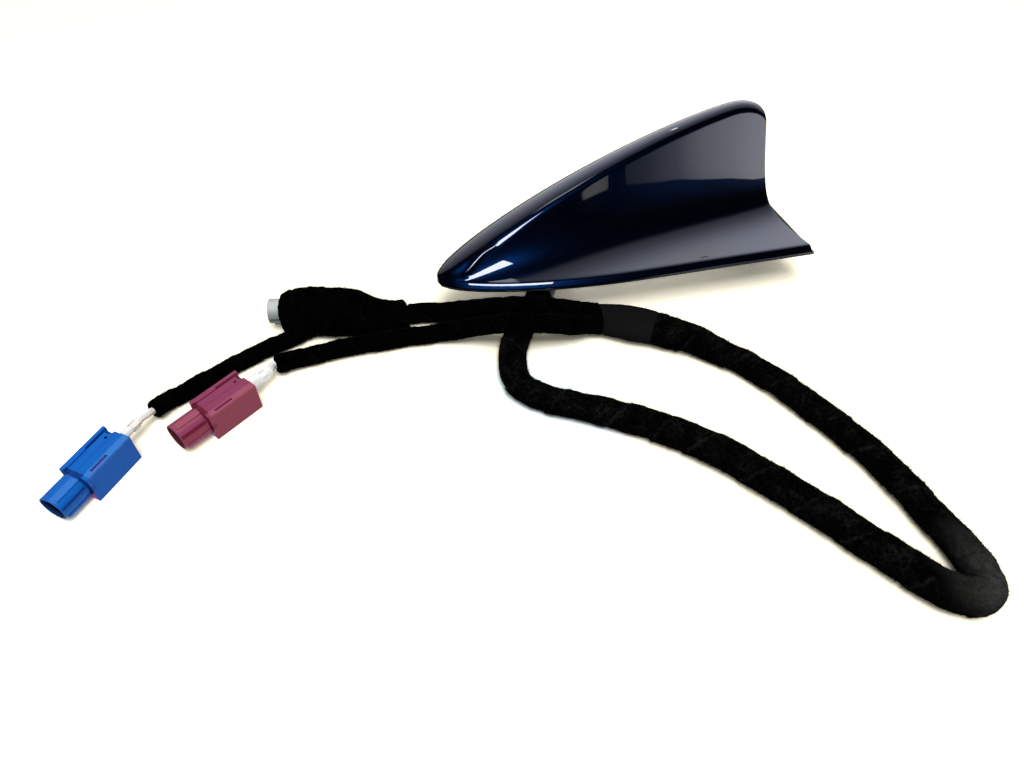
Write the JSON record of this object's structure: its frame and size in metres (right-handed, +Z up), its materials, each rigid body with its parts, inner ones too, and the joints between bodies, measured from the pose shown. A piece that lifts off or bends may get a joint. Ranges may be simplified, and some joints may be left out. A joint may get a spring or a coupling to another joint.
{
  "type": "gps antenna",
  "caption": "Fin-shaped car roof aerial, painted dark blue, on a sealed base with a roof stud, and a fleece-taped coaxial harness that ends in keyed plugs.",
  "frame": {"origin": "middle of the roof hole, on the underside of the seals, which is the roof skin", "axes": "+X to the tail of the fin, +Z up out of the roof, +Y to the far side in the picture"},
  "size_m": [0.3078, 0.2167, 0.0764],
  "materials": {
    "paint": "metallic dark blue paint under clear lacquer",
    "casting": "raw die casting",
    "rubber": "matt",
    "steel": "zinc plated",
    "board": "green solder mask",
    "ceramic": "fired ceramic",
    "silver": "silver plated",
    "nickel": "nickel plated",
    "holder": "moulded",
    "sheet": "stamped sheet",
    "copper": "stamped copper alloy",
    "lead": "smooth sheath",
    "tape": "fleece tape",
    "smooth_tape": "smoother cloth tape",
    "plug_blue": "moulded",
    "plug_bordeaux": "moulded",
    "plug_grey": "moulded",
    "lock": "moulded",
    "insulator": "moulded",
    "gold": "gold plated"
  },
  "bodies": {
    "root": {"fin_cover": "paint", "base_plate": "casting", "rim_seal": "rubber", "hole_seal": "rubber", "roof_stud": "steel", "main_board": "board", "patch_ceramic": "ceramic", "patch_electrode": "silver", "patch_pin": "nickel", "shield_can": "nickel", "element_holder": "holder", "phone_element": "sheet", "remote_element": "copper", "lead_clamp": "steel", "inner_lead_gps": "lead", "inner_lead_phone": "lead", "inner_lead_remote": "lead", "cable_boot": "rubber", "cover_screws": "steel", "board_screws": "steel", "harness_trunk": "tape", "split_band": "smooth_tape", "upper_branch": "tape", "lower_branch": "tape", "lump_wrap": "tape", "blue_branch": "tape", "housing_blue": "plug_blue", "lock_blue": "lock", "shell_blue": "nickel", "insulator_blue": "insulator", "contact_blue": "gold", "ferrule_blue": "nickel", "coax_blue": "lead", "housing_bordeaux": "plug_bordeaux", "lock_bordeaux": "lock", "shell_bordeaux": "nickel", "insulator_bordeaux": "insulator", "contact_bordeaux": "gold", "ferrule_bordeaux": "nickel", "coax_bordeaux": "lead", "housing_grey": "plug_grey", "lock_grey": "lock", "shell_grey": "nickel", "insulator_grey": "insulator", "contact_grey": "gold", "ferrule_grey": "nickel"}
  },
  "joints": []
}
